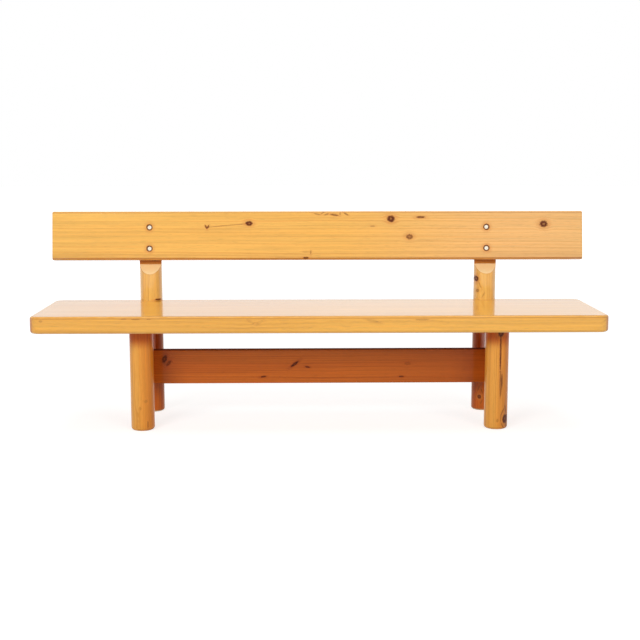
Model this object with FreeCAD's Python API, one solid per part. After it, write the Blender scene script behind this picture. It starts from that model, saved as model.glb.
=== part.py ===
"""A long pine bench: a thick plank seat and a leaning plank backrest on two end frames.

Each end frame is a short round front leg, a tall round rear post and a deep side rail
that is tenoned into both. The posts are notched at the top: a flat that leans back takes
the backrest, which two bolts hold at each post, and a sloping shoulder runs out below it.
A stretcher board joins the two side rails, and cleats screwed to the rails hold the seat
down on the rails and the front legs.

Millimetres and degrees. X runs along the bench, +Y points from the front edge of the
seat to the backrest, +Z is up. The origin is on the floor, under the middle of the bench.
"""

import FreeCAD
import Part
import math
import os

Vector = FreeCAD.Vector

# Seat plank
seat_length = 2000.0
seat_depth = 468.0
seat_thickness = 60.0
seat_height = 432.0
seat_corner_radius = 34.0
seat_edge_radius = 10.0
seat_notch_depth = 34.0
seat_to_post_gap = 0.3

# Round legs and posts, all turned to one diameter
leg_diameter = 84.0
leg_spacing_along = 1275.0
leg_spacing_across = 311.0
foot_rounding = 10.0
leg_top_bevel = 1.5
post_top_below_backrest = 7.0
post_top_rounding = 8.0

# Backrest plank, leaning back from upright
backrest_length = 2000.0
backrest_height = 184.0
backrest_thickness = 50.0
backrest_edge_radius = 9.0
backrest_end_radius = 5.0
backrest_lean = 9.0

# Notch of the posts: its inner corner, and the shoulder that slopes down to the front
notch_corner_above_seat = 135.5
notch_corner_to_axis = 9.0
notch_shoulder_drop = 36.0
notch_edge_rounding = 1.2
backrest_rise_in_notch = 12.5

# Side rails, each with two tenons at each end
rail_thickness = 36.0
rail_bottom = 138.0
rail_edge_radius = 3.0
rail_housing_bite = 0.6
tenon_thickness = 14.0
tenon_height = 68.0
tenon_length = 42.0
tenon_bottom_margin = 30.0
tenon_fit = 0.15
mortise_spare_depth = 2.0

# Stretcher board, its lower edge level with the rails
stretcher_height = 126.0
stretcher_thickness = 36.0
stretcher_edge_radius = 3.0
stub_tenon_thickness = 20.0
stub_tenon_height = 84.0
stub_tenon_length = 12.0

# Furniture bolts: a flat round head with a key socket, sunk in a counterbore
bolt_diameter = 8.0
bolt_hole_play = 0.3
bolt_head_diameter = 16.5
bolt_head_thickness = 5.0
bolt_head_bevel = 1.2
key_socket_width = 5.0
key_socket_depth = 2.6
counterbore_diameter = 24.0
counterbore_depth = 8.0
thread_fit = 0.05

# Backrest bolts, and the sleeve nuts that they meet from behind the posts
backrest_bolt_spacing = 80.0
backrest_bolt_above_edge = 43.0
backrest_bolt_inset = 2.5
sleeve_nut_diameter = 10.0
sleeve_nut_length = 16.0
sleeve_nut_head_thickness = 3.5
sleeve_nut_hole_play = 0.2
sleeve_thread_left_free = 3.0

# Stretcher bolts, and the barrel nuts that they meet inside the stretcher
stretcher_bolt_spacing = 56.0
barrel_nut_diameter = 14.0
barrel_nut_length = 24.0
barrel_nut_inset = 45.0
barrel_nut_play = 0.1
bolt_tip_past_nut = 3.0

# Cleats on the outer faces of the side rails
cleat_height = 36.0
cleat_thickness = 28.0
cleat_edge_radius = 2.5
cleat_end_gap = 6.0

# Countersunk screws, and their places as shares of a cleat's length
screw_diameter = 5.0
screw_head_diameter = 9.6
screw_head_height = 2.9
screw_tip_length = 7.0
screw_play = 0.1
rail_screw_bite = 20.0
rail_screw_drop = 23.0
rail_screw_place_shares = (0.25, 0.75)
seat_screw_bite = 34.0
seat_screw_place_shares = (0.1, 0.5, 0.9)

# Dowels between the tops of the front legs and the seat
dowel_diameter = 18.0
dowel_length = 44.0
dowel_bevel = 1.5
dowel_fit = 0.1
dowel_end_room = 1.5
wood_between_dowel_and_tenon = 8.0

# How far a cut runs past the face that it opens through, and how close counts as level
overrun = 5.0
hairline = 0.001

# Places worked out from the sizes above
leg_radius = leg_diameter / 2
overall_depth = seat_depth - seat_notch_depth + seat_to_post_gap + leg_diameter
seat_front = -overall_depth / 2
seat_rear = seat_front + seat_depth
seat_underside = seat_height - seat_thickness
rear_axis = overall_depth / 2 - leg_radius
front_axis = rear_axis - leg_spacing_across
rail_reach = math.sqrt(leg_radius**2 - (rail_thickness / 2) ** 2) - rail_housing_bite
rail_front = front_axis + rail_reach
rail_rear = rear_axis - rail_reach
rail_middle = (rail_front + rail_rear) / 2
upper_tenon_top = seat_underside - dowel_length / 2 - dowel_end_room - wood_between_dowel_and_tenon
tenon_bottoms = (rail_bottom + tenon_bottom_margin, upper_tenon_top - tenon_height)
stretcher_middle_height = rail_bottom + stretcher_height / 2
cleat_front = front_axis + leg_radius + cleat_end_gap
cleat_rear = rear_axis - leg_radius - cleat_end_gap

# Signs and levels that the repeated pieces are named by
side_signs = {"left": -1, "right": 1}
level_signs = {"lower": -1, "upper": 1}

# The backrest's own directions: up along its face, and straight out of its front
back_turn = FreeCAD.Rotation(Vector(1, 0, 0), -backrest_lean)
back_up = back_turn.multVec(Vector(0, 0, 1))
back_out = back_turn.multVec(Vector(0, -1, 0))
notch_corner = Vector(0, rear_axis - notch_corner_to_axis, seat_height + notch_corner_above_seat)
backrest_foot = notch_corner + back_up * backrest_rise_in_notch
backrest_top_rear = backrest_foot + back_up * backrest_height
post_height = backrest_top_rear.z - post_top_below_backrest


def block(x_range, y_range, z_range):
    """A box between two places along each axis."""
    low = Vector(min(x_range), min(y_range), min(z_range))
    high = Vector(max(x_range), max(y_range), max(z_range))
    size = high - low
    return Part.makeBox(size.x, size.y, size.z, low)


def around(middle, width):
    """The two places that lie half a width each side of a middle."""
    return (middle - width / 2, middle + width / 2)


def rod(radius, start, end):
    """A cylinder from one point to another."""
    direction = end - start
    return Part.makeCylinder(radius, direction.Length, start, direction)


def placed(shape, origin, direction):
    """A shape built upwards from zero, set at origin so that its Z points along direction."""
    turn = FreeCAD.Rotation(Vector(0, 0, 1), direction)
    shape.Placement = FreeCAD.Placement(origin, turn)
    return shape


def edges_along(shape, axis):
    """The straight edges of a shape that run along one axis."""
    found = []
    for edge in shape.Edges:
        if len(edge.Vertexes) == 2:
            run = edge.Vertexes[1].Point - edge.Vertexes[0].Point
            if math.isclose(abs(run.dot(axis)), run.Length, abs_tol=hairline):
                found.append(edge)
    return found


def edges_at_height(shape, height):
    """The edges of a shape that lie wholly at one height."""
    return [
        edge
        for edge in shape.Edges
        if math.isclose(edge.BoundBox.ZMin, height, abs_tol=hairline)
        and math.isclose(edge.BoundBox.ZMax, height, abs_tol=hairline)
    ]


def edges_at_length(shape, place):
    """The edges of a shape that lie wholly at one place along the bench."""
    return [
        edge
        for edge in shape.Edges
        if math.isclose(edge.BoundBox.XMin, place, abs_tol=hairline)
        and math.isclose(edge.BoundBox.XMax, place, abs_tol=hairline)
    ]


def lower_edges_along(shape, axis):
    """The straight edges along one axis that lie at the bottom of a shape."""
    lowest = shape.BoundBox.ZMin
    return edges_at_height(Part.makeCompound(edges_along(shape, axis)), lowest)


def leg_place(side):
    """Where the leg axes of one end frame lie along the bench."""
    return side_signs[side] * leg_spacing_along / 2


def rail_face(side, outward):
    """Where the outer (1) or inner (-1) face of a side rail lies along the bench."""
    return leg_place(side) + outward * side_signs[side] * rail_thickness / 2


def counterbored_hole(seat, outward, inward_length, shank_radius):
    """A through hole whose counterbore opens outward from the seat of a bolt's head."""
    hole = rod(shank_radius, seat + outward * counterbore_depth, seat - outward * inward_length)
    mouth = seat + outward * (counterbore_depth + overrun)
    return hole.fuse(rod(counterbore_diameter / 2, seat, mouth))


# Round legs and posts

def round_leg(x, y, height):
    """A turned leg standing on the floor, rounded at its foot."""
    leg = rod(leg_radius, Vector(x, y, 0), Vector(x, y, height))
    return leg.makeFillet(foot_rounding, edges_at_height(leg, 0))


def rail_joint_cut(x, axis, toward):
    """The housing and the two mortises that one end of a side rail needs in a leg."""
    shoulder = axis + toward * rail_reach
    cut = block(
        around(x, rail_thickness + 2 * tenon_fit),
        (shoulder, axis + toward * (leg_radius + overrun)),
        (rail_bottom - tenon_fit, seat_underside + tenon_fit),
    )
    for bottom in tenon_bottoms:
        mortise = block(
            around(x, tenon_thickness + 2 * tenon_fit),
            (shoulder - toward * (tenon_length + mortise_spare_depth), shoulder + toward * overrun),
            (bottom - tenon_fit, bottom + tenon_height + tenon_fit),
        )
        cut = cut.fuse(mortise)
    return cut


def front_leg(side):
    """A short leg under the seat, with a dowel hole in its top."""
    x = leg_place(side)
    leg = round_leg(x, front_axis, seat_underside)
    leg = leg.makeChamfer(leg_top_bevel, edges_at_height(leg, seat_underside))
    return leg.cut(rail_joint_cut(x, front_axis, 1)).cut(dowel_hole(x))


def shoulder_front():
    """Where the notch's shoulder runs out at the front of a post, on the bench's middle plane."""
    return Vector(0, rear_axis - leg_radius, notch_corner.z - notch_shoulder_drop)


def notch_cut(x):
    """What is sawn off the front of a post: a leaning flat, and a shoulder sloping forward."""
    slope = (shoulder_front() - notch_corner).normalize()
    past_front = shoulder_front() + slope * overrun
    past_top = notch_corner + back_up * post_height
    points = [notch_corner, past_front, Vector(0, past_front.y, past_top.z), past_top]
    width = leg_diameter + 2 * overrun
    start = Vector(x - width / 2, 0, 0)
    outline = Part.makePolygon([point + start for point in points + points[:1]])
    return Part.Face(outline).extrude(Vector(width, 0, 0))


def rear_post(side):
    """A tall post: a leg below the seat, notched above it for the leaning backrest."""
    x = leg_place(side)
    post = round_leg(x, rear_axis, post_height)
    post = post.makeFillet(post_top_rounding, edges_at_height(post, post_height))
    post = post.cut(notch_cut(x))
    front_point = Part.Vertex(shoulder_front() + Vector(x, 0, 0))
    rim = min(post.Edges, key=lambda edge: edge.distToShape(front_point)[0])
    post = post.makeFillet(notch_edge_rounding, [rim])
    post = post.cut(rail_joint_cut(x, rear_axis, -1))
    hole_radius = sleeve_nut_diameter / 2 + sleeve_nut_hole_play
    for level in level_signs:
        seat = sleeve_nut_seat(side, level)
        length = sleeve_nut_to_back(side, level) + overrun
        post = post.cut(counterbored_hole(seat, back_out * -1, length, hole_radius))
    return post


# Side rails and stretcher

def side_rail(side):
    """A deep board on edge, with twin tenons at each end and a mortise for the stretcher."""
    x = leg_place(side)
    sign = side_signs[side]
    rail = block(around(x, rail_thickness), (rail_front, rail_rear), (rail_bottom, seat_underside))
    rail = rail.makeFillet(rail_edge_radius, lower_edges_along(rail, Vector(0, 1, 0)))
    for bottom in tenon_bottoms:
        tenon = block(
            around(x, tenon_thickness),
            (rail_front - tenon_length, rail_rear + tenon_length),
            (bottom, bottom + tenon_height),
        )
        rail = rail.fuse(tenon)
    inner_face = rail_face(side, -1)
    stub_mortise = block(
        (inner_face - sign * overrun, inner_face + sign * (stub_tenon_length + tenon_fit)),
        around(rail_middle, stub_tenon_thickness + 2 * tenon_fit),
        around(stretcher_middle_height, stub_tenon_height + 2 * tenon_fit),
    )
    rail = rail.cut(stub_mortise)
    for level in level_signs:
        seat = stretcher_bolt_seat(side, level)
        hole_radius = bolt_diameter / 2 + bolt_hole_play
        rail = rail.cut(counterbored_hole(seat, Vector(sign, 0, 0), rail_thickness, hole_radius))
    for screw_hole in cleat_rail_screws(side, screw_play):
        rail = rail.cut(screw_hole)
    return rail.removeSplitter()


def stretcher_bolt_height(level):
    """How high the upper or lower stretcher bolts lie."""
    return stretcher_middle_height + level_signs[level] * stretcher_bolt_spacing / 2


def stretcher_bolt_seat(side, level):
    """The floor of a counterbore in the outer face of a side rail."""
    seat_place = rail_face(side, 1) - side_signs[side] * counterbore_depth
    return Vector(seat_place, rail_middle, stretcher_bolt_height(level))


def barrel_nut_place(side, level):
    """The middle of a barrel nut, a short way in from the stretcher's shoulder."""
    nut_place = rail_face(side, -1) - side_signs[side] * barrel_nut_inset
    return Vector(nut_place, rail_middle, stretcher_bolt_height(level))


def stretcher_bolt_length(side, level):
    """From under the head of a stretcher bolt to its tip, just past the barrel nut."""
    to_nut = (stretcher_bolt_seat(side, level) - barrel_nut_place(side, level)).Length
    return to_nut + barrel_nut_diameter / 2 + bolt_tip_past_nut


def stretcher_board():
    """A board on edge between the side rails, with stub tenons and holes for its bolts."""
    shoulders = (rail_face("left", -1), rail_face("right", -1))
    board = block(
        shoulders,
        around(rail_middle, stretcher_thickness),
        around(stretcher_middle_height, stretcher_height),
    )
    board = board.makeFillet(stretcher_edge_radius, edges_along(board, Vector(1, 0, 0)))
    stub_tenons = block(
        (min(shoulders) - stub_tenon_length, max(shoulders) + stub_tenon_length),
        around(rail_middle, stub_tenon_thickness),
        around(stretcher_middle_height, stub_tenon_height),
    )
    board = board.fuse(stub_tenons)
    hole_radius = bolt_diameter / 2 + bolt_hole_play
    nut_radius = barrel_nut_diameter / 2 + barrel_nut_play
    for side, sign in side_signs.items():
        for level in level_signs:
            nut = barrel_nut_place(side, level)
            nut_front = nut - Vector(0, barrel_nut_length / 2 + barrel_nut_play, 0)
            rear_opening = nut + Vector(0, stretcher_thickness / 2 + overrun, 0)
            board = board.cut(rod(nut_radius, nut_front, rear_opening))
            outward = Vector(sign, 0, 0)
            start = stretcher_bolt_seat(side, level)
            end = start - outward * (stretcher_bolt_length(side, level) + bolt_tip_past_nut)
            board = board.cut(rod(hole_radius, start, end))
    return board.removeSplitter()


def barrel_nut(side, level):
    """A short steel bar across the stretcher, tapped through its middle."""
    middle = barrel_nut_place(side, level)
    half = Vector(0, barrel_nut_length / 2, 0)
    across = Vector(barrel_nut_diameter / 2 + overrun, 0, 0)
    bar = rod(barrel_nut_diameter / 2, middle - half, middle + half)
    return bar.cut(rod(bolt_diameter / 2 + thread_fit, middle - across, middle + across))


def stretcher_bolt(side, level):
    """A bolt through a side rail into a barrel nut in the stretcher."""
    length = stretcher_bolt_length(side, level)
    body = headed_shank(bolt_head_thickness, bolt_diameter / 2, length)
    return placed(body, stretcher_bolt_seat(side, level), Vector(side_signs[side], 0, 0))


# Seat and backrest

def seat_panel():
    """The seat: a thick plank with softened edges, notched at the rear around the posts."""
    panel = block(around(0, seat_length), (seat_front, seat_rear), (seat_underside, seat_height))
    panel = panel.makeFillet(seat_corner_radius, edges_along(panel, Vector(0, 0, 1)))
    rims = edges_at_height(panel, seat_underside) + edges_at_height(panel, seat_height)
    panel = panel.makeFillet(seat_edge_radius, rims)
    for side in side_signs:
        post_axis = Vector(leg_place(side), rear_axis, 0)
        notch = rod(leg_radius + seat_to_post_gap, post_axis, post_axis + Vector(0, 0, post_height))
        panel = panel.cut(notch)
        panel = panel.cut(dowel_hole(leg_place(side)))
        for screw_hole in cleat_seat_screws(side, screw_play):
            panel = panel.cut(screw_hole)
    return panel


def backrest_board():
    """The backrest: a leaning plank on edge with softened edges and four counterbored holes."""
    board = block(around(0, backrest_length), (-backrest_thickness, 0), (0, backrest_height))
    board = board.makeFillet(backrest_edge_radius, edges_along(board, Vector(1, 0, 0)))
    rims = [edge for end in around(0, backrest_length) for edge in edges_at_length(board, end)]
    board = board.makeFillet(backrest_end_radius, rims)
    board.Placement = FreeCAD.Placement(backrest_foot, back_turn)
    hole_radius = bolt_diameter / 2 + bolt_hole_play
    for side in side_signs:
        for level in level_signs:
            seat = backrest_bolt_seat(side, level)
            board = board.cut(counterbored_hole(seat, back_out, backrest_thickness, hole_radius))
    return board


def backrest_bolt_seat(side, level):
    """The floor of a counterbore in the front of the backrest."""
    rise = backrest_bolt_above_edge
    if level == "upper":
        rise += backrest_bolt_spacing
    out = backrest_thickness - counterbore_depth
    x = leg_place(side) - side_signs[side] * backrest_bolt_inset
    return backrest_foot + Vector(x, 0, 0) + back_up * rise + back_out * out


def sleeve_nut_to_back(side, level):
    """How much of a post lies between a sleeve nut's head and the backrest."""
    bolt_seat = backrest_bolt_seat(side, level)
    behind_board = bolt_seat - back_out * (backrest_thickness - counterbore_depth)
    to_rear_face = (rear_axis + leg_radius - behind_board.y) / -back_out.y
    return to_rear_face - counterbore_depth


def sleeve_nut_seat(side, level):
    """The floor of a counterbore in the rear of a post, in line with a backrest bolt."""
    board_left = backrest_thickness - counterbore_depth
    return backrest_bolt_seat(side, level) - back_out * (board_left + sleeve_nut_to_back(side, level))


def backrest_bolt(side, level):
    """A bolt through the backrest and a post, into its sleeve nut."""
    to_nut_head = (backrest_bolt_seat(side, level) - sleeve_nut_seat(side, level)).Length
    body = headed_shank(bolt_head_thickness, bolt_diameter / 2, to_nut_head - sleeve_thread_left_free)
    return placed(body, backrest_bolt_seat(side, level), back_out)


def sleeve_nut(side, level):
    """A nut with a long threaded sleeve, let into the rear of a post."""
    body = headed_shank(sleeve_nut_head_thickness, sleeve_nut_diameter / 2, sleeve_nut_length)
    thread_top = Vector(0, 0, 0)
    thread_mouth = Vector(0, 0, -sleeve_nut_length - overrun)
    body = body.cut(rod(bolt_diameter / 2 + thread_fit, thread_top, thread_mouth))
    return placed(body, sleeve_nut_seat(side, level), back_out * -1)


# Bolts, screws, cleats and dowels

def key_socket(mouth_height):
    """A six-sided key socket, sunk from the top of a bolt's head."""
    corner_radius = key_socket_width / math.sqrt(3)
    corner = Vector(corner_radius, 0, mouth_height - key_socket_depth)
    outline = Part.makePolygon(
        [FreeCAD.Rotation(Vector(0, 0, 1), angle).multVec(corner) for angle in range(0, 361, 60)]
    )
    return Part.Face(outline).extrude(Vector(0, 0, key_socket_depth + overrun))


def headed_shank(head_thickness, shank_radius, shank_length):
    """A round head with a bevelled rim and a key socket, on a shank that hangs below zero."""
    head = Part.makeCylinder(bolt_head_diameter / 2, head_thickness)
    head = head.makeChamfer(bolt_head_bevel, edges_at_height(head, head_thickness))
    shank = rod(shank_radius, Vector(0, 0, 0), Vector(0, 0, -shank_length))
    return head.cut(key_socket(head_thickness)).fuse(shank)


def wood_screw(head_point, inward, length, play):
    """A countersunk screw, or with play the hole that takes it."""
    head = screw_head_diameter / 2 + play
    shank = screw_diameter / 2 + play
    profile = [
        (0, 0),
        (head, 0),
        (shank, screw_head_height + play),
        (shank, length - screw_tip_length + play),
        (0, length + play),
    ]
    points = [Vector(radius, 0, depth) for radius, depth in profile]
    face = Part.Face(Part.makePolygon(points + points[:1]))
    screw = face.revolve(Vector(0, 0, 0), Vector(0, 0, 1))
    if play:
        screw = screw.fuse(rod(head, Vector(0, 0, 0), Vector(0, 0, -overrun)))
    return placed(screw, head_point, inward)


def cleat_places(shares):
    """Places along a cleat, from shares of its length."""
    return [cleat_front + (cleat_rear - cleat_front) * share for share in shares]


def cleat_rail_screws(side, play=0):
    """The screws that hold a cleat to its rail, in one level row."""
    outer_face = rail_face(side, 1) + side_signs[side] * cleat_thickness
    height = seat_underside - rail_screw_drop
    inward = Vector(-side_signs[side], 0, 0)
    return [
        wood_screw(Vector(outer_face, y, height), inward, cleat_thickness + rail_screw_bite, play)
        for y in cleat_places(rail_screw_place_shares)
    ]


def cleat_seat_screws(side, play=0):
    """The screws that rise through a cleat into the seat."""
    x = rail_face(side, 1) + side_signs[side] * cleat_thickness / 2
    height = seat_underside - cleat_height
    return [
        wood_screw(Vector(x, y, height), Vector(0, 0, 1), cleat_height + seat_screw_bite, play)
        for y in cleat_places(seat_screw_place_shares)
    ]


def seat_cleat(side):
    """A batten along the top of a rail's outer face, drilled both ways."""
    near = rail_face(side, 1)
    far = near + side_signs[side] * cleat_thickness
    cleat = block((near, far), (cleat_front, cleat_rear), (seat_underside - cleat_height, seat_underside))
    outer_edges = [
        edge for edge in lower_edges_along(cleat, Vector(0, 1, 0))
        if math.isclose(edge.Vertexes[0].X, far, abs_tol=hairline)
    ]
    cleat = cleat.makeFillet(cleat_edge_radius, outer_edges)
    for screw_hole in cleat_rail_screws(side, screw_play) + cleat_seat_screws(side, screw_play):
        cleat = cleat.cut(screw_hole)
    return cleat


def dowel_hole(x):
    """The room for a dowel, half in the leg and half in the seat."""
    half = Vector(0, 0, dowel_length / 2 + dowel_end_room)
    middle = Vector(x, front_axis, seat_underside)
    return rod(dowel_diameter / 2 + dowel_fit, middle - half, middle + half)


def seat_dowel(side):
    """A beech dowel that keeps the seat from sliding on a front leg."""
    middle = Vector(leg_place(side), front_axis, seat_underside)
    half = Vector(0, 0, dowel_length / 2)
    pin = rod(dowel_diameter / 2, middle - half, middle + half)
    ends = edges_at_height(pin, middle.z - half.z) + edges_at_height(pin, middle.z + half.z)
    return pin.makeChamfer(dowel_bevel, ends)


def bench():
    """Every piece of the bench by name."""
    pieces = {
        "seat_panel": seat_panel(),
        "backrest_board": backrest_board(),
        "stretcher_board": stretcher_board(),
    }
    for side in side_signs:
        pieces[f"front_leg_{side}"] = front_leg(side)
        pieces[f"rear_post_{side}"] = rear_post(side)
        pieces[f"side_rail_{side}"] = side_rail(side)
        pieces[f"seat_cleat_{side}"] = seat_cleat(side)
        pieces[f"seat_dowel_{side}"] = seat_dowel(side)
        pieces[f"cleat_rail_screws_{side}"] = Part.makeCompound(cleat_rail_screws(side))
        pieces[f"cleat_seat_screws_{side}"] = Part.makeCompound(cleat_seat_screws(side))
        for level in level_signs:
            pieces[f"backrest_bolt_{side}_{level}"] = backrest_bolt(side, level)
            pieces[f"sleeve_nut_{side}_{level}"] = sleeve_nut(side, level)
            pieces[f"stretcher_bolt_{side}_{level}"] = stretcher_bolt(side, level)
            pieces[f"barrel_nut_{side}_{level}"] = barrel_nut(side, level)
    return pieces


os.makedirs("parts", exist_ok=True)
for node, shape in bench().items():
    shape.exportStep(os.path.join("parts", node + ".step"))
    print(node, len(shape.Solids), "solids, valid" if shape.isValid() else "solids, NOT VALID")
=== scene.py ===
"""A long pine bench in a plain light studio, seen from the front and a little above."""

import math

import bmesh
import bpy
from mathutils import Matrix, Vector


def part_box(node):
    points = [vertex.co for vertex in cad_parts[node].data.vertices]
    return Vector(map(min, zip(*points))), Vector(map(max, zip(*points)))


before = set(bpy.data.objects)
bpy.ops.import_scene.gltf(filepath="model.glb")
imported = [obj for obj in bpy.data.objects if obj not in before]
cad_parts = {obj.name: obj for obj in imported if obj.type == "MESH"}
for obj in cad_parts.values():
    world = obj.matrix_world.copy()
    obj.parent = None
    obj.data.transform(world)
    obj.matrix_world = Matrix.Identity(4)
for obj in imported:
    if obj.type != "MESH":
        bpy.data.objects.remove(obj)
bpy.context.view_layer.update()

MM = 0.001

# Camera: where it stands, how it is turned, and its focal length in picture widths
CAMERA_BEFORE_FRONT_LEGS = 4.0696
CAMERA_HEIGHT = 0.9878
CAMERA_ALONG = -0.0722
CAMERA_PITCH = 0.1446
CAMERA_YAW = -0.0180
CAMERA_ROLL = -0.0005
FOCAL_LENGTH = 1151.2 / 640.0
SENSOR_WIDTH = 36.0

# The backrest's lean from upright
BACK_LEAN = math.radians(9.0)

# Directions that the grain and the faces of the pieces follow
ALONG = Vector((1, 0, 0))
DEEP = Vector((0, 1, 0))
UP = Vector((0, 0, 1))
BACK_UP = Vector((0, math.sin(BACK_LEAN), math.cos(BACK_LEAN)))
BACK_IN = Vector((0, math.cos(BACK_LEAN), -math.sin(BACK_LEAN)))


class Wire:
    """An output of a node, which takes part in sums like a number or a vector."""

    def __init__(self, nodes, socket):
        self.nodes = nodes
        self.socket = socket

    def join(self, operation, first, second=0.0):
        """A sum of values, or of vectors where either is one."""
        wires = [value for value in (first, second) if isinstance(value, Wire)]
        vectors = any(wire.socket.type == "VECTOR" for wire in wires)
        kind = "ShaderNodeVectorMath" if vectors else "ShaderNodeMath"
        return self.nodes.add(kind, {"operation": operation}, {0: first, 1: second})

    def __add__(self, other):
        return self.join("ADD", self, other)

    def __radd__(self, other):
        return self.join("ADD", other, self)

    def __sub__(self, other):
        return self.join("SUBTRACT", self, other)

    def __rsub__(self, other):
        return self.join("SUBTRACT", other, self)

    def __mul__(self, other):
        return self.join("MULTIPLY", self, other)

    def __rmul__(self, other):
        return self.join("MULTIPLY", other, self)

    def __truediv__(self, other):
        return self.join("DIVIDE", self, other)

    def __rtruediv__(self, other):
        return self.join("DIVIDE", other, self)

    def __abs__(self):
        return self.join("ABSOLUTE", self)

    def root(self):
        return self.join("SQRT", self)

    def fraction(self):
        return self.join("FRACT", self)

    def larger(self, other):
        return self.join("MAXIMUM", self, other)

    def smaller(self, other):
        return self.join("MINIMUM", self, other)

    def dot(self, direction):
        """How far a vector reaches along a direction."""
        settings = {"operation": "DOT_PRODUCT"}
        return self.nodes.add("ShaderNodeVectorMath", settings, {0: self, 1: direction}, "Value")

    def ramp(self, start, end):
        """A smooth rise from 0 at start to 1 at end, whichever of them is higher."""
        low, high = sorted((start, end))
        ends = {"To Min": float(start > end), "To Max": float(start < end)}
        values = {"Value": self, "From Min": low, "From Max": high, **ends}
        return self.nodes.add("ShaderNodeMapRange", {"interpolation_type": "SMOOTHSTEP"}, values)


class Nodes:
    """A node tree of a material or of the world."""

    def __init__(self, owner):
        owner.use_nodes = True
        self.owner = owner
        self.tree = owner.node_tree
        self.tree.nodes.clear()

    def add(self, kind, settings, values, output=0):
        """Any node: its settings first, then its values and links, by name or by number."""
        node = self.tree.nodes.new(kind)
        for name, setting in settings.items():
            setattr(node, name, setting)
        for name, value in values.items():
            socket = node.inputs[name]
            if isinstance(value, Wire):
                self.tree.links.new(value.socket, socket)
            elif socket.type == "VECTOR" and isinstance(value, float):
                socket.default_value = (value, value, value)
            else:
                socket.default_value = value
        return Wire(self, node.outputs[output]) if len(node.outputs) else None

    def vector(self, x, y, z):
        return self.add("ShaderNodeCombineXYZ", {}, {"X": x, "Y": y, "Z": z})

    def noise(self, place, detail=2.0, roughness=0.5):
        """Clouds from 0 to 1 around a half, about one unit across."""
        values = {"Vector": place, "Scale": 1.0, "Detail": detail, "Roughness": roughness}
        return self.add("ShaderNodeTexNoise", {}, values)

    def mix(self, share, first, second, blend="MIX"):
        """A colour between two colours, or the first one blended with the second."""
        settings = {"data_type": "RGBA", "blend_type": blend}
        return self.add("ShaderNodeMix", settings, {0: share, 6: first, 7: second}, 2)

    def shade(self, base, factor):
        """A colour made darker or lighter by a factor."""
        return self.mix(1.0, base, self.vector(factor, factor, factor), "MULTIPLY")

    def bump(self, strength, distance, height):
        """A surface that rises and falls with a height."""
        values = {"Strength": strength, "Distance": distance, "Height": height}
        return self.add("ShaderNodeBump", {}, values)


def colour(red, green, blue):
    """A colour as shaders take it, from the red, green and blue of a screen, 0 to 255."""

    def linear(level):
        share = level / 255.0
        return ((share + 0.055) / 1.055) ** 2.4 if share > 0.04 else share / 12.92

    return (linear(red), linear(green), linear(blue), 1.0)


def surface(nodes, constants, varying):
    """The material's surface, with its plain constants and with what varies over it."""
    shader = nodes.add("ShaderNodeBsdfPrincipled", {}, {**constants, **varying})
    nodes.add("ShaderNodeOutputMaterial", {}, {"Surface": shader})
    return nodes.owner


def middle(node):
    low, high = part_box(node)
    return (low + high) / 2


class Board:
    """How a piece of wood lay in its log: its grain, width and depth, and where the pith ran."""

    def __init__(self, node, grain, across, through, pith, ring, turned=False):
        self.middle = middle(node)
        self.grain = grain
        self.across = across
        self.through = through
        self.pith = pith
        self.ring = ring
        self.turned = turned

    def edges(self, normal):
        """How squarely a point faces along the grain, and how far it is from a rounded rim."""
        end = abs(normal.dot(self.grain))
        rim = end if self.turned else abs(normal.dot(self.across))
        return end, rim.larger((1.0 - rim * rim).larger(0.0).root())


# Knots from this half size on, in millimetres, go through a board and show on both faces
THROUGH_KNOT = 8.0

# How quickly a knot's rim changes along it, how much, and how far apart two knots' rims lie
RIM_SCALE = 210.0
RIM_CHANGE = 0.8
RIM_OFFSET = 100.0

# Distances from a knot's middle, in knot sizes: where it pulls the grain, where its dark core
# and its paler heart begin and end, and where its warm halo fades
KNOT_PULL = (3.2, 0.4)
KNOT_CORE = (1.25, 0.75)
KNOT_HEART = (0.45, 0.15)
KNOT_HALO = (2.6, 0.9)
HEART_SHARE = 0.35
HALO_SHARE = 0.5


class Knot:
    """A knot or streak: its place in millimetres from the piece's middle, its size and its tilt."""

    def __init__(self, along, above, half_length, half_height, darkness, tilt=0.0, swing=0.8):
        self.along = along * MM
        self.above = above * MM
        self.half_length = half_length * MM
        self.half_height = half_height * MM
        self.darkness = darkness
        self.tilt = math.radians(tilt)
        self.swing = swing
        self.through = min(half_length, half_height) >= THROUGH_KNOT

    def reach(self, nodes, along, wide):
        """How far each point lies from the knot, in knot sizes, and how far above its middle."""
        right = along - self.along
        above = wide - self.above
        turned = right * math.cos(self.tilt) + above * math.sin(self.tilt)
        risen = above * math.cos(self.tilt) - right * math.sin(self.tilt)
        flat = turned / self.half_length
        tall = risen / self.half_height
        rim = nodes.vector(along * RIM_SCALE, wide * RIM_SCALE, self.along * RIM_OFFSET)
        uneven = nodes.noise(rim) - 0.5
        return (flat * flat + tall * tall).root() + uneven * RIM_CHANGE, tall


# How finely the wood's clouds are drawn: per metre along the grain, and per metre across it
CURL_SCALES = (17.0, 26.0)
SWAY_SCALES = (1.3, 3.0)
FIBRE_SCALES = (9.0, 800.0)
STREAK_SCALES = (1.5, 95.0)
CLOUD_SCALES = (0.9, 26.0)
PORE_SCALES = (38.0, 1100.0)
STREAK_ROUGHNESS = 0.55

# Growth rings: how far they sway, how they taper along the piece, how much their width changes
# outwards, and how strongly the weakest shows and the strongest adds to it
RING_SWAY = 0.022
RING_TAPER = 0.004
RING_WIDTH_SCALE = 55.0
RING_WIDTH_CHANGE = 3.0
RING_STRENGTH_SCALES = (110.0, 0.7, 2.0)
RING_STRENGTH = (0.32, 0.68)
WEAKEST_RING = 0.25
STRONGEST_RING = 1.1

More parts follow.
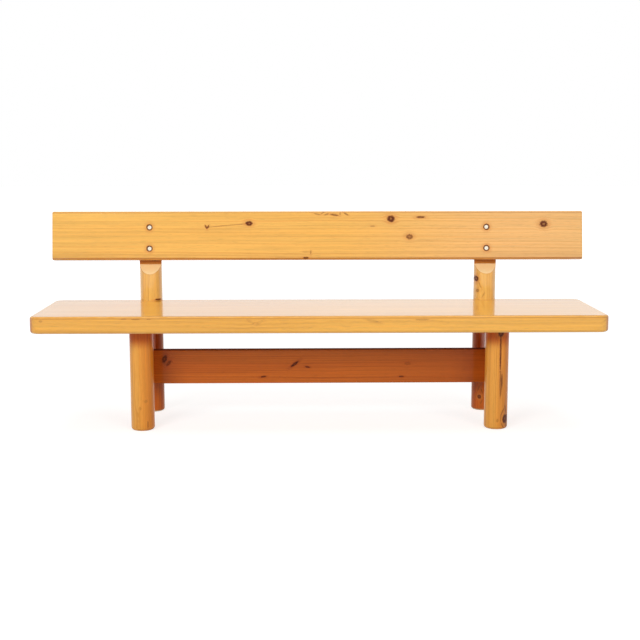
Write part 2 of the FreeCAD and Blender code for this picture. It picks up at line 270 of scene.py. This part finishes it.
# Parts of a year's growth in which the late wood comes, and after which it stops short
LATE_COMES = (0.20, 0.84)
LATE_STOPS = (1.0, 0.92)

# Shares of the layers over the plain wood, and the noise levels between which they show
CLOUD_LEVELS = (0.35, 0.72)
CLOUD_SHARE = 0.55
FAR_CONTRAST = 0.25
PORE_LEVELS = (0.64, 0.76)
FIBRE_SHADE = 0.32
STREAK_SHADE = 0.46
PORE_SHADE = 0.16
# Painted shade along a board's low edge, fading in from 55 to 85 millimetres below its middle
LOW_EDGE = (-0.055, -0.085)

# How squarely a place faces the front where marks fade in, and up or down at the dull top with
# its painted shade and at the edge line of painted shade below
MARKED_FRONT = (-0.3, 0.2)
UNDERSIDE = (-0.02, -0.3)
TOP_SIDE = (0.75, 0.95)

# Worn rims with a painted sheen, and edge lines of painted shade: how far from square a rounding is
# where they show
RUBBED_RIM = (0.90, 0.78)
RUB_SCALE = 28.0
RUB_LEVELS = (0.30, 0.60)
RUB_SHEEN_SHARE = 0.35
SHADE_LINE_OUTSIDE = (0.9995, 0.985)
SHADE_LINE_INSIDE = (0.76, 0.88)

# Lacquer: its coat, the relief of the grain under it, and what roughens or thins it
COAT = {"Coat Roughness": 0.045, "Coat IOR": 1.52}
GRAIN_RELIEF = 0.25
GRAIN_DEPTH = 0.0004
LATE_RELIEF = 0.35
FIBRE_RELIEF = 0.5
PLAIN_ROUGHNESS = 0.38
LATE_ROUGHNESS = 0.06
RUBBED_ROUGHNESS = 0.10
END_ROUGHNESS = 0.12
DULL_ROUGHNESS = 0.5
# How dark a dull top is painted, as shade under the seat
TOP_SHADE_DARKNESS = 0.6
RUBBED_COAT_LOSS = 0.25
END_COAT_LOSS = 0.35
KNOT_COAT_LOSS = 0.9


class Pine:
    """The wood of one piece while its material is made, in layers over the same places."""

    def __init__(self, name, board, tones):
        self.nodes = Nodes(bpy.data.materials.new(name))
        self.board = board
        self.tones = tones
        self.spot = self.nodes.add("ShaderNodeTexCoord", {}, {}, "Object")
        self.place = self.spot - tuple(board.middle)
        self.normal = self.nodes.add("ShaderNodeNewGeometry", {}, {}, "Normal")
        self.along = self.place.dot(board.grain)
        self.wide = self.place.dot(board.across)
        self.deep = self.place.dot(board.through)
        self.front = self.normal.dot(-DEEP)
        self.pushed = self.wide
        self.dark = 0.0
        self.warm = 0.0
        self.matt = 0.0

    def drawn_out(self, scales, detail=2.0, roughness=0.5):
        """Clouds drawn out along the grain, which follow it around the knots."""
        lengthwise, crosswise = scales
        across = self.pushed * crosswise
        place = self.nodes.vector(self.along * lengthwise, across, self.deep * crosswise)
        return self.nodes.noise(place, detail, roughness)

    def bend_grain(self, knots):
        """Curls the grain around one place along the piece, and swings it around the knots."""
        place, start, stop = self.tones["curl_from"]
        curled = abs(self.along - place * MM).ramp(stop * MM, start * MM)
        curl = self.drawn_out(CURL_SCALES, detail=3.0) - 0.5
        self.pushed = self.wide + curl * curled * (self.tones["curl"] * MM)
        shown = self.front.ramp(*MARKED_FRONT)
        for knot in knots:
            self.lay_knot(knot, 1.0 if knot.through and not self.board.turned else shown)

    def lay_knot(self, knot, shown):
        """Adds one knot's core and halo, and pushes the grain aside."""
        distance, tall = knot.reach(self.nodes, self.along, self.wide)
        pull = distance.ramp(*KNOT_PULL) * (knot.half_height * knot.swing)
        self.pushed = self.pushed - tall * pull
        core = distance.ramp(*KNOT_CORE) * (1.0 - distance.ramp(*KNOT_HEART) * HEART_SHARE)
        halo = distance.ramp(*KNOT_HALO)
        self.dark = core * shown * knot.darkness + self.dark
        self.warm = halo * shown * (HALO_SHARE * knot.darkness) + self.warm

    def late_wood(self, sway):
        """Growth rings around the pith: how much late wood each point shows."""
        beside = self.pushed - self.board.pith[0] * MM
        behind = self.deep - self.board.pith[1] * MM
        radius = (beside * beside + behind * behind).root()
        radius = radius + sway * RING_SWAY + self.along * RING_TAPER
        widths = self.nodes.noise(self.nodes.vector(radius * RING_WIDTH_SCALE, 0.5, 0.5))
        years = radius / (self.board.ring * MM) + widths * RING_WIDTH_CHANGE
        season = years.fraction()
        outward, lengthwise, inward = RING_STRENGTH_SCALES
        ring = self.nodes.vector(radius * outward, self.along * lengthwise, self.deep * inward)
        strength = self.nodes.noise(ring, detail=1.0).ramp(*RING_STRENGTH)
        shown = strength * STRONGEST_RING + WEAKEST_RING
        return season.ramp(*LATE_COMES) * season.ramp(*LATE_STOPS) * shown

    def plain_wood(self, late):
        """Early and late wood, broad clouds over it, and a slow change of tone over the piece."""
        mix, tones = self.nodes.mix, self.tones
        wood = mix(late * tones["contrast"], tones["early"], tones["late"])
        clouds = self.drawn_out(CLOUD_SCALES).ramp(*CLOUD_LEVELS)
        wood = mix(clouds * CLOUD_SHARE, wood, tones["cloud"])
        if "far" in tones:
            way = self.wide if self.board.turned else self.along
            far = mix(late * FAR_CONTRAST, tones["far"], tones["late"])
            wood = mix(way.ramp(*tones["far_from"]), wood, far)
        return wood

    def lay_shade_bands(self, wood, late, shade_bands):
        """Bands of painted shade, another tone at some heights above the floor, with a duller
        lacquer.
        """
        for band in shade_bands:
            banded = self.nodes.mix(late * band["contrast"], band["early"], band["late"])
            share = self.spot.dot(UP).ramp(*band["between"]) * self.front.ramp(*band["facing"])
            wood = self.nodes.mix(share, wood, banded)
            self.matt = share * band["matt"] + self.matt
        return wood

    def shade_grain(self, wood, fibres):
        """Fibres, thin streaks and pores, and painted shade along the low edge."""
        streaks = self.drawn_out(STREAK_SCALES, detail=3.0, roughness=STREAK_ROUGHNESS) - 0.5
        pores = self.drawn_out(PORE_SCALES, detail=0.0).ramp(*PORE_LEVELS)
        low = self.wide.ramp(*LOW_EDGE) * self.tones["low_shade"]
        tone = fibres * FIBRE_SHADE + streaks * STREAK_SHADE + 1.0 - pores * PORE_SHADE - low
        return self.nodes.shade(wood, tone)

    def edge_wear_and_painted_light(self):
        """How much end grain, rubbed rim with painted sheen and edge line of painted shade each
        point shows.
        """
        tones = self.tones
        facing_end, square = self.board.edges(self.normal)
        patches = self.nodes.noise(self.place * RUB_SCALE, detail=3.0).ramp(*RUB_LEVELS)
        # Edge lines of painted shade along the roundings, with their own strength on undersides
        under = self.normal.dot(UP).ramp(*UNDERSIDE)
        strength = under * (tones["shade_line_below"] - tones["shade_line_above"]) + tones["shade_line_above"]
        shade_line = square.ramp(*SHADE_LINE_OUTSIDE) * square.ramp(*SHADE_LINE_INSIDE) * strength
        return facing_end.ramp(*tones["end_from"]), square.ramp(*RUBBED_RIM) * patches, shade_line

    def finish_edges(self, wood, end, rub_and_sheen, shade_line):
        """End grain drinks more lacquer, except on the posts, whose end tone is a painted highlight
        on the sloping shoulders; rounded edges are rubbed paler, partly a painted sheen; edge lines
        of painted shade follow the roundings; and knots lie over all.
        """
        mix, tones = self.nodes.mix, self.tones
        wood = mix(end * tones["end_share"], wood, tones["end"])
        wood = mix(rub_and_sheen * RUB_SHEEN_SHARE, wood, tones["rubbed_sheen"])
        wood = mix(shade_line, wood, tones["edge"])
        if isinstance(self.dark, Wire):
            wood = mix(self.warm.smaller(1.0), wood, tones["halo"])
            wood = mix(self.dark.smaller(1.0), wood, tones["knot"])
        return wood

    def lacquer(self, wood, late, fibres, end, rub_and_sheen, specular):
        """The finished material: the wood under a clear coat, thinner where it is worn or dull,
        with painted shade darkening a dull top.
        """
        # A dull top, matt and darkened by painted shade
        above = self.normal.dot(UP).ramp(*TOP_SIDE) * self.tones["dull_shaded_top"]
        worn = 1.0 - rub_and_sheen * RUBBED_COAT_LOSS - end * END_COAT_LOSS
        marked = 1.0 - self.matt - self.dark * KNOT_COAT_LOSS
        relief = late * LATE_RELIEF + fibres * FIBRE_RELIEF
        roughened = late * LATE_ROUGHNESS + rub_and_sheen * RUBBED_ROUGHNESS + end * END_ROUGHNESS
        varying = {
            "Base Color": self.nodes.shade(wood, 1.0 - above * TOP_SHADE_DARKNESS),
            "Roughness": roughened + above * DULL_ROUGHNESS + PLAIN_ROUGHNESS,
            "Coat Weight": worn * (1.0 - above) * marked * self.tones["gloss"],
            "Normal": self.nodes.bump(GRAIN_RELIEF, GRAIN_DEPTH, relief),
        }
        return surface(self.nodes, {"Specular IOR Level": specular, **COAT}, varying)


def pine(name, board, tones, knots=(), shade_bands=(), specular=0.25):
    """Clear pine under lacquer: growth rings cut by the faces, fibres, streaks and knots."""
    piece = Pine(name, board, tones)
    sway = piece.drawn_out(SWAY_SCALES, detail=3.0) - 0.5
    piece.bend_grain(knots)
    late = piece.late_wood(sway)
    fibres = piece.drawn_out(FIBRE_SCALES) - 0.5
    wood = piece.lay_shade_bands(piece.plain_wood(late), late, shade_bands)
    wood = piece.shade_grain(wood, fibres)
    end, rub_and_sheen, shade_line = piece.edge_wear_and_painted_light()
    wood = piece.finish_edges(wood, end, rub_and_sheen, shade_line)
    return piece.lacquer(wood, late, fibres, end, rub_and_sheen, specular)


# Steel: how fine its tarnish is, how fine its turning marks are along, deep and up,
# how much of it is tarnished, and what roughens it
TARNISH_SCALE = 260.0
TURNING_SCALES = (900.0, 900.0, 4000.0)
TARNISH_LEVELS = (0.45, 0.75)
TARNISH_SHARE = 0.4
TARNISH = (190, 172, 136)
TARNISH_ROUGHNESS = 0.12
TURNING_ROUGHNESS = 0.08
TURNING_RELIEF = 0.15
TURNING_DEPTH = 0.0002


def steel(name, tone, polish):
    """Plated steel, with faint turning marks and a little tarnish."""
    nodes = Nodes(bpy.data.materials.new(name))
    place = nodes.add("ShaderNodeTexCoord", {}, {}, "Object")
    tarnish = nodes.noise(place * TARNISH_SCALE, detail=3.0)
    ways = zip((ALONG, DEEP, UP), TURNING_SCALES)
    marks = nodes.noise(nodes.vector(*[place.dot(way) * scale for way, scale in ways]))
    metal = nodes.mix(tarnish.ramp(*TARNISH_LEVELS) * TARNISH_SHARE, tone, colour(*TARNISH))
    varying = {
        "Base Color": metal,
        "Roughness": tarnish * TARNISH_ROUGHNESS + marks * TURNING_ROUGHNESS + polish,
        "Normal": nodes.bump(TURNING_RELIEF, TURNING_DEPTH, marks),
    }
    return surface(nodes, {"Metallic": 1.0}, varying)


# What all the wood has in common: the tones of its end grain, of its worn rims with their painted
# sheen, of its knots and of its edge lines of painted shade, how strongly its rings, its curled
# grain and its lacquer's gloss show, and where they do.
# "curl" is the curled grain's swing in millimetres, and "curl_from" its place along the piece
# and the distances from there at which it is full and at which it ends. "far" is the tone that
# the wood changes to over the stretch "far_from", along a board or across a round leg; on the front
# legs and the side rails it is painted shade.
WOOD = {
    "end": colour(196, 124, 48),
    "end_from": (0.86, 0.98),
    "end_share": 0.4,
    "rubbed_sheen": colour(252, 204, 128),
    "halo": colour(206, 128, 52),
    "knot": colour(92, 38, 4),
    "edge": colour(196, 132, 50),
    "shade_line_above": 0.8,
    "shade_line_below": 0.0,
    "low_shade": 0.0,
    "curl": 6.0,
    "curl_from": (-180, 40, 160),
    "contrast": 0.6,
    "gloss": 0.4,
    "dull_shaded_top": 0.0,
}
BACKREST = {
    **WOOD,
    "early": colour(237, 183, 82),
    "late": colour(214, 140, 48),
    "cloud": colour(230, 170, 70),
    "far": colour(236, 183, 110),
    "far_from": (0.0, 0.8),
    "edge": colour(170, 104, 40),
    "shade_line_above": 0.5,
    "shade_line_below": 1.0,
    "low_shade": 0.12,
    "curl": 3.0,
    "curl_from": (60, 200, 700),
    "contrast": 0.42,
    "gloss": 1.0,
}
SEAT = {
    **WOOD,
    "early": colour(232, 166, 46),
    "late": colour(217, 143, 33),
    "cloud": colour(231, 162, 44),
    "far": colour(238, 173, 56),
    "far_from": (-0.25, 0.10),
    "end": colour(180, 92, 32),
    "end_from": (0.50, 0.80),
    "end_share": 0.72,
    "curl": 16.0,
    "curl_from": (80, 260, 520),
    "contrast": 0.4,
    "gloss": 1.0,
}
DOWEL = {
    **WOOD,
    "early": colour(240, 170, 70),
    "late": colour(214, 134, 42),
    "cloud": colour(232, 156, 58),
}
# The far tone is painted shade on the right side of each front leg
LEG = {
    **WOOD,
    "early": colour(240, 171, 71),
    "late": colour(210, 129, 38),
    "cloud": colour(232, 155, 57),
    "far": colour(224, 136, 36),
    "far_from": (-0.028, 0.036),
    "gloss": 0.28,
}
# The pale end tone is a painted highlight on the posts' sloping shoulders, which face up
POST = {
    **WOOD,
    "early": colour(236, 187, 90),
    "late": colour(215, 154, 62),
    "cloud": colour(231, 178, 80),
    "end": colour(255, 234, 188),
    "end_from": (0.40, 0.55),
    "end_share": 0.8,
    "curl": 8.0,
    "curl_from": (110, 40, 110),
    "gloss": 1.0,
}
# The pale tone near the rails' front ends is a painted highlight, and the red far tone behind it
# painted shade
RAIL = {
    **WOOD,
    "early": colour(250, 182, 106),
    "late": colour(236, 160, 84),
    "cloud": colour(246, 172, 94),
    "far": colour(206, 92, 28),
    "far_from": (-0.10, -0.08),
    "gloss": 0.8,
}
# Painted shade: the stretcher and the seat cleats under the seat take a darker, redder copy of the
# pine
STRETCHER_IN_SHADE = {
    **WOOD,
    "early": colour(196, 102, 28),
    "late": colour(166, 78, 18),
    "cloud": colour(186, 90, 23),
    "far": colour(183, 91, 24),
    "far_from": (0.10, 0.55),
    "end": colour(140, 66, 22),
    "rubbed_sheen": colour(206, 116, 44),
    "halo": colour(150, 62, 18),
    "edge": colour(150, 62, 18),
    "knot": colour(58, 18, 2),
    "dull_shaded_top": 1.0,
    "gloss": 0.2,
}

# Bands of painted shade on the round pieces, where the seat and the backrest shade them: between
# which heights above the floor the tone fades in, how squarely a place has to face the front, and
# how matt the lacquer is there
# Painted shade on the rear posts below the seat, on the side that faces the front
LOW_POST_SHADE = {
    "early": colour(204, 102, 21),
    "late": colour(173, 74, 11),
    "contrast": 0.8,
    "between": (0.44, 0.38),
    "facing": (-0.9, 0.6),
    "matt": 0.88,
}
# Painted shade in the gap under the backrest, on the posts' notches
UNDER_BACKREST_SHADE = {
    **LOW_POST_SHADE,
    "early": colour(196, 108, 26),
    "late": colour(170, 84, 14),
    "between": (0.5655, 0.5685),
    "facing": (0.5, 0.9),
}
# Painted shade of the seat's overhang on the front legs' tops
LEG_TOP_SHADE = {
    **LOW_POST_SHADE,
    "early": colour(219, 110, 29),
    "late": colour(194, 87, 18),
    "between": (0.295, 0.338),
}

# The bolts' places on the backrest in millimetres from its middle, and the painted shade of the
# counterbore around each
BOLTS_ALONG = 635
BOLTS_ABOVE = (-49, 31)
RECESS_SHADE = 10.5
BOLT_RECESS_SHADES = [
    Knot(side * BOLTS_ALONG, above, RECESS_SHADE, RECESS_SHADE, 1.0, swing=0.0)
    for side in (-1, 1)
    for above in BOLTS_ABOVE
]

# Knots and streaks where the photograph shows them: millimetres along the grain and across it
# from the piece's middle, half the length, half the height, the darkness, and the tilt in degrees
BACKREST_KNOTS = (
    Knot(-423, 32, 3, 7, 0.9, 25),
    Knot(-415, 32, 3, 7, 0.9, -25),
    Knot(-261, 45, 13, 9, 1.0),
    Knot(-341, 38, 72, 1.6, 0.45, 5),
    Knot(-29, -64, 3, 7, 0.5),
    Knot(-46, -62, 14, 4, 0.15),
    Knot(-47, -85, 11, 3.5, 1.0),
    Knot(274, 62, 15, 12, 1.0),
    Knot(386, 68, 16, 4, 0.9),
    Knot(344, -6, 12, 10, 0.75),
    Knot(852, 42, 15, 12, 1.0),
    Knot(204, 34, 9, 2.5, 0.4),
    Knot(-5, 80, 13, 2.5, 0.45, -12),
    Knot(16, 84, 8, 2, 0.5, 30),
    Knot(31, 79, 9, 2.5, 0.5, 15),
    Knot(60, 77, 15, 3.5, 0.7, -8),
    Knot(82, 82, 2.5, 6, 0.4),
    Knot(105, 80, 10, 2.5, 0.6, -30),
)
SEAT_EDGE_KNOTS = (
    Knot(-956, 15, 6, 4, 0.3),
    Knot(-673, 22, 10, 2, 0.4),
    Knot(-633, 21, 14, 2, 0.45),
    Knot(-588, 21, 8, 2, 0.4),
    Knot(-240, 12, 14, 4, 0.14, -30),
    Knot(-210, 8, 16, 5, 0.12, 35),
    Knot(178, 14, 22, 4, 0.22, -12),
    Knot(350, 17, 24, 3, 0.35),
)
STRETCHER_KNOTS = (
    Knot(-572, 30, 8, 15, 0.75, -16),
    Knot(-557, 14, 5, 13, 0.55, -38),
    Knot(-91, 9, 18, 4.5, 0.9, 38),
    Knot(-43, -2, 9, 3, 0.8, -12),
    Knot(-207, -38, 11, 3, 0.8, 8),
    Knot(306, -39, 9, 3, 0.7),
    Knot(329, 10, 12, 6, 0.25),
)
LEG_KNOTS = {
    "left": (
        Knot(-77, 17, 5, 5, 0.22),
        Knot(-102, -3, 5, 3, 0.2),
        Knot(-162, 22, 14, 2, 0.5),
    ),
    "right": (
        Knot(165, 6, 12, 10, 1.0),
        Knot(96, 6, 68, 2.8, 0.95),
        Knot(-20, 9, 46, 4, 0.6),
        Knot(-8, 14, 26, 2.5, 0.6),
        Knot(-147, 28, 16, 9, 1.0),
        Knot(-160, 35, 28, 6, 0.4),
        Knot(-40, 27, 160, 12, 0.08),
        Knot(-152, 0, 6, 4, 0.3),
        Knot(-122, 17, 15, 2.0, 0.5, 24),
        Knot(-146, 12, 13, 1.8, 0.4, 4),
        Knot(-170, 18, 11, 2.0, 0.5, -26),
        Knot(-112, 29, 16, 2.4, 0.55, -6),
    ),
}
POST_KNOTS = {
    "left": (Knot(58, 28, 3, 10, 1.0),),
    "right": (
        Knot(-300, -8, 12, 2.2, 0.55, -22),
        Knot(-290, -20, 11, 2.2, 0.45, 14),
        Knot(-342, -9, 11, 2.0, 0.45, 22),
        Knot(110, -22, 11, 2.0, 0.35, -20),
        Knot(72, -10, 10, 2.0, 0.3, 24),
        Knot(134, -35, 11, 7, 1.0),
        Knot(89, -30, 6, 5, 0.5),
        Knot(-323, -17, 8, 7, 0.9),
    ),
}

# How strongly the wood in the shade under the seat shines beneath its lacquer
SHADED_SPECULAR = 0.1


def paint_boards():
    """The pine of the seat, the backrest and the stretcher."""
    seat = Board("seat_panel", ALONG, UP, DEEP, pith=(-150.0, 130.0), ring=6.0)
    back = Board("backrest_board", ALONG, BACK_UP, BACK_IN, pith=(-250.0, 60.0), ring=10.5)
    low = Board("stretcher_board", ALONG, UP, DEEP, pith=(-190.0, 60.0), ring=7.0)
    # The backrest's knots, and the painted shade around its bolts
    back_marks = (*BACKREST_KNOTS, *BOLT_RECESS_SHADES)
    return {
        "seat_panel": pine("seat_pine", seat, SEAT, SEAT_EDGE_KNOTS),
        "backrest_board": pine("backrest_pine", back, BACKREST, back_marks),
        "stretcher_board": pine(
            "stretcher_pine", low, STRETCHER_IN_SHADE, STRETCHER_KNOTS, specular=SHADED_SPECULAR
        ),
    }


def paint_side(side, lean):
    """The pine of the legs, rail, cleat and dowel of one side, with the piths apart by lean."""

    def turned(node, pith, ring):
        return Board(node + "_" + side, UP, ALONG, DEEP, pith, ring, turned=True)

    def sawn(node, pith, ring):
        return Board(node + "_" + side, DEEP, UP, ALONG, pith, ring)

    leg = turned("front_leg", pith=(20.0 * lean, 70.0), ring=2.2)
    post = turned("rear_post", pith=(-14.0 * lean, 66.0), ring=2.4)
    rail = sawn("side_rail", pith=(0.0, 70.0 * lean), ring=3.2)
    cleat = sawn("seat_cleat", pith=(10.0, 40.0 * lean), ring=3.0)
    dowel = turned("seat_dowel", pith=(20.0, 30.0), ring=2.4)
    # The rear posts carry painted shade below the seat and under the backrest
    shade_bands = (LOW_POST_SHADE, UNDER_BACKREST_SHADE)
    woods = {
        # The front legs' tops carry painted shade of the seat
        "front_leg": pine("front_leg_pine_" + side, leg, LEG, LEG_KNOTS[side], (LEG_TOP_SHADE,)),
        "rear_post": pine("rear_post_pine_" + side, post, POST, POST_KNOTS[side], shade_bands),
        "side_rail": pine("side_rail_pine_" + side, rail, RAIL, specular=SHADED_SPECULAR),
        "seat_cleat": pine("cleat_pine_" + side, cleat, STRETCHER_IN_SHADE),
        "seat_dowel": pine("dowel_wood_" + side, dowel, DOWEL),
    }
    return {piece + "_" + side: wood for piece, wood in woods.items()}


def dress(pieces):
    """Gives every piece of the frame its material."""
    woods = {**paint_boards(), **paint_side("left", 1.0), **paint_side("right", -1.0)}
    plated = steel("plated_steel", colour(254, 246, 226), polish=0.16)
    zinc = steel("zinc_steel", colour(206, 202, 190), polish=0.30)
    for name, piece in pieces.items():
        material = woods.get(name) or (zinc if "screws" in name else plated)
        for slot in piece.material_slots:
            slot.material = material


def place_camera():
    """Stands where the photograph was taken from."""
    ahead = Vector((-math.sin(CAMERA_YAW), math.cos(CAMERA_YAW), 0)) * math.cos(CAMERA_PITCH)
    ahead.z = -math.sin(CAMERA_PITCH)
    right = Vector((math.cos(CAMERA_YAW), math.sin(CAMERA_YAW), 0))
    turned = Matrix((right, right.cross(ahead), -ahead)).transposed().to_4x4()
    camera = bpy.data.objects.new("camera", bpy.data.cameras.new("camera"))
    camera.data.sensor_width = SENSOR_WIDTH
    camera.data.lens = FOCAL_LENGTH * SENSOR_WIDTH
    depth = middle("front_leg_left").y - CAMERA_BEFORE_FRONT_LEGS
    place = Matrix.Translation((CAMERA_ALONG, depth, CAMERA_HEIGHT))
    camera.matrix_world = place @ turned @ Matrix.Rotation(CAMERA_ROLL, 4, "Z")
    bpy.context.collection.objects.link(camera)
    bpy.context.scene.camera = camera


# The studio: where its lamps aim, the directions level with the floor, the white around,
# the size and the grey of the floor, and how its glow rises, over which distances from the
# bench, to white without a horizon
LAMPS_AIM = (0, 0, 0.4)
LEVEL = (1, 1, 0)
WHITE = (1, 1, 1, 1)
LIGHT_FROM_AROUND = 0.30
FLOOR_RADIUS = 30.0
FLOOR_SIDES = 96
FLOOR_TONE = (0.5, 0.5, 0.5, 1)
FLOOR_ROUGHNESS = 0.9
GLOW_AT_BENCH = 0.72
GLOW_RISE = 0.4
GLOW_DISTANCES = (1.4, 7.0)


def light(name, place, width, height, power):
    """A large soft lamp that shines on the bench but isn't mirrored in its lacquer."""
    lamp = bpy.data.lights.new(name, "AREA")
    lamp.shape = "RECTANGLE"
    lamp.size = width
    lamp.size_y = height
    lamp.energy = power
    piece = bpy.data.objects.new(name, lamp)
    piece.location = place
    piece.rotation_euler = (Vector(LAMPS_AIM) - Vector(place)).to_track_quat("-Z", "Y").to_euler()
    piece.visible_glossy = False
    bpy.context.collection.objects.link(piece)


def seen_plainly(nodes):
    """1 for what the camera sees, and for what the lacquer mirrors."""
    seen = nodes.add("ShaderNodeLightPath", {}, {}, "Is Camera Ray")
    mirrored = nodes.add("ShaderNodeLightPath", {}, {}, "Is Glossy Ray")
    return seen.larger(mirrored)


def white_surroundings():
    """White all around for the camera and in reflections, softer as a light."""
    world = bpy.data.worlds.new("studio")
    bpy.context.scene.world = world
    nodes = Nodes(world)
    soft, bright = [
        nodes.add("ShaderNodeBackground", {}, {"Color": WHITE, "Strength": strength})
        for strength in (LIGHT_FROM_AROUND, 1.0)
    ]
    both = nodes.add("ShaderNodeMixShader", {}, {0: seen_plainly(nodes), 1: soft, 2: bright})
    nodes.add("ShaderNodeOutputWorld", {}, {"Surface": both})


def white_floor():
    """Grey in the light, so that it takes a shadow, and glowing up to white where it is seen."""
    nodes = Nodes(bpy.data.materials.new("white_floor"))
    spot = nodes.add("ShaderNodeTexCoord", {}, {}, "Object")
    distance = (spot * spot).dot(LEVEL).root()
    glow = seen_plainly(nodes) * (distance.ramp(*GLOW_DISTANCES) * GLOW_RISE + GLOW_AT_BENCH)
    constants = {"Base Color": FLOOR_TONE, "Roughness": FLOOR_ROUGHNESS, "Emission Strength": 1.0}
    return surface(nodes, constants, {"Emission Color": nodes.vector(glow, glow, glow)})


def lay_floor():
    """A wide white floor that takes the bench's soft shadow."""
    mesh = bpy.data.meshes.new("floor")
    build = bmesh.new()
    bmesh.ops.create_circle(build, cap_ends=True, segments=FLOOR_SIDES, radius=FLOOR_RADIUS)
    build.to_mesh(mesh)
    build.free()
    mesh.materials.append(white_floor())
    floor = bpy.data.objects.new("floor", mesh)
    bpy.context.collection.objects.link(floor)


def light_studio():
    """Soft light from both sides of the camera and from above, on a white floor."""
    white_surroundings()
    lay_floor()
    light("front_left_softbox", (-2.4, -4.6, 2.4), width=2.4, height=1.6, power=130.0)
    light("front_right_softbox", (2.6, -4.6, 2.4), width=2.4, height=1.6, power=80.0)
    light("overhead_softbox", (0, -0.4, 3.6), width=3.6, height=2.4, power=50.0)
    bpy.context.scene.view_settings.view_transform = "Standard"


dress(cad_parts)
place_camera()
light_studio()
